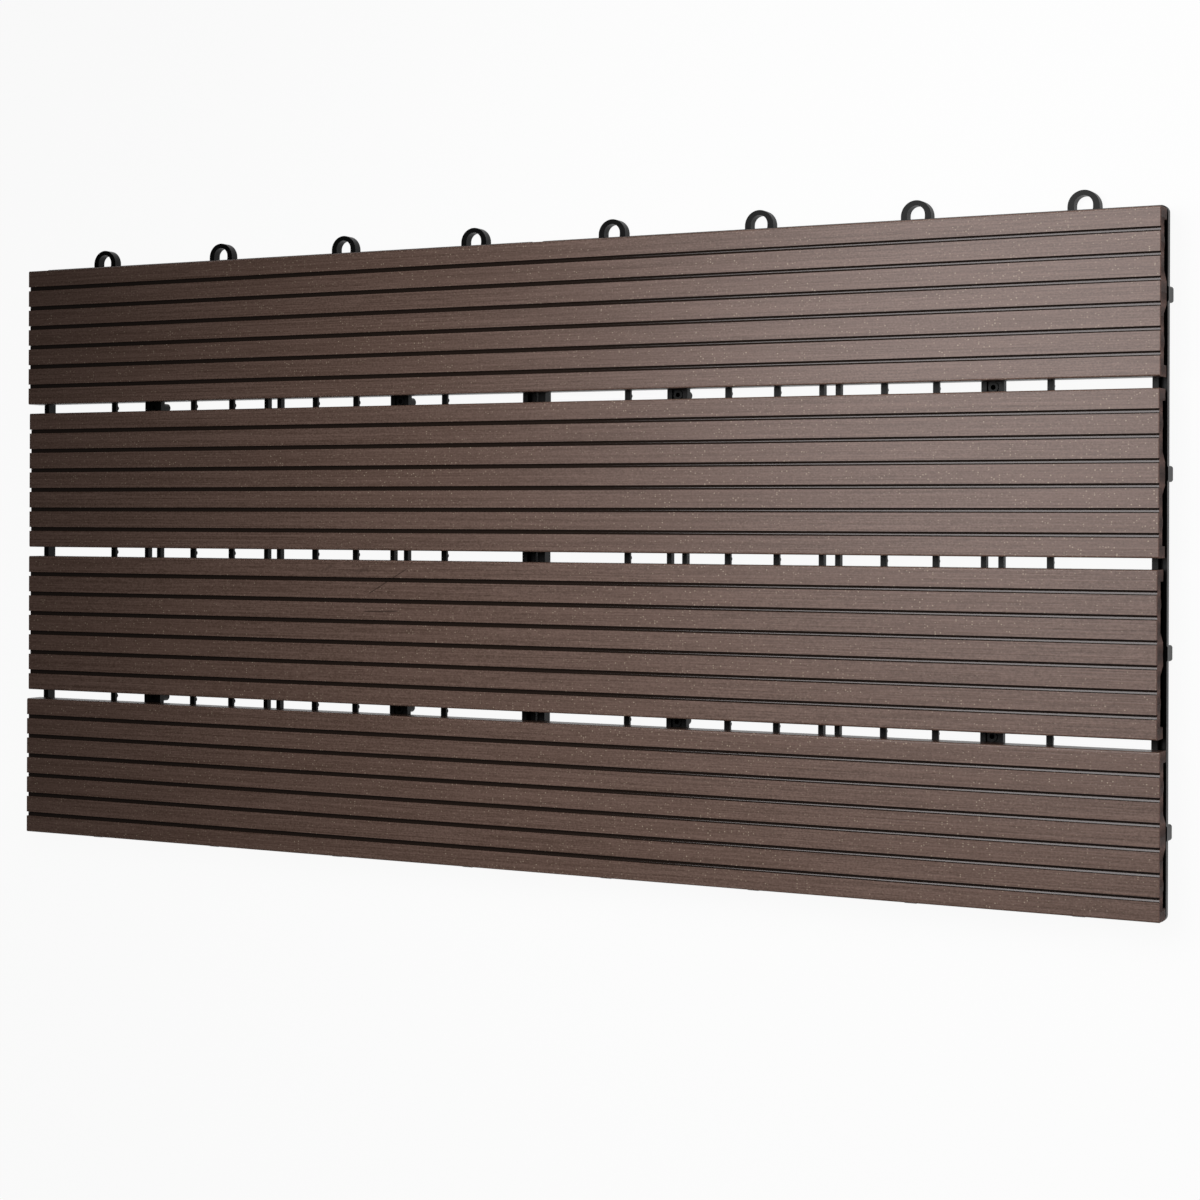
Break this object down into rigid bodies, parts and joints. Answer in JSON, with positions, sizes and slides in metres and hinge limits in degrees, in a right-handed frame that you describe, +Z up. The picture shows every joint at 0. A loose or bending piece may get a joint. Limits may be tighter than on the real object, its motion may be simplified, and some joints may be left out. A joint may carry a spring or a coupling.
{
  "type": "interlocking deck tile",
  "caption": "Rectangular outdoor deck tile: grooved brown composite slats screwed to black moulded grid bases whose edge loops and pegs join it to its neighbours.",
  "frame": {"origin": "on the ground, under the middle of the 600 x 300 mm cell that the tile takes up in a laid floor", "axes": "+X along the slats, from the loop end to the peg end; +Y across them, towards the loop side; +Z up, out of the walking face"},
  "size_m": [0.6084, 0.3083, 0.022],
  "materials": {
    "composite": "wood-plastic composite, brown, brushed along its length, matte",
    "base_plastic": "black moulded polypropylene, matte",
    "screw_steel": "plain zinc-plated steel"
  },
  "bodies": {
    "root": {"slat_first": "composite", "slat_second": "composite", "slat_third": "composite", "slat_fourth": "composite", "base_left": "base_plastic", "base_right": "base_plastic", "screws": "screw_steel"}
  },
  "joints": []
}
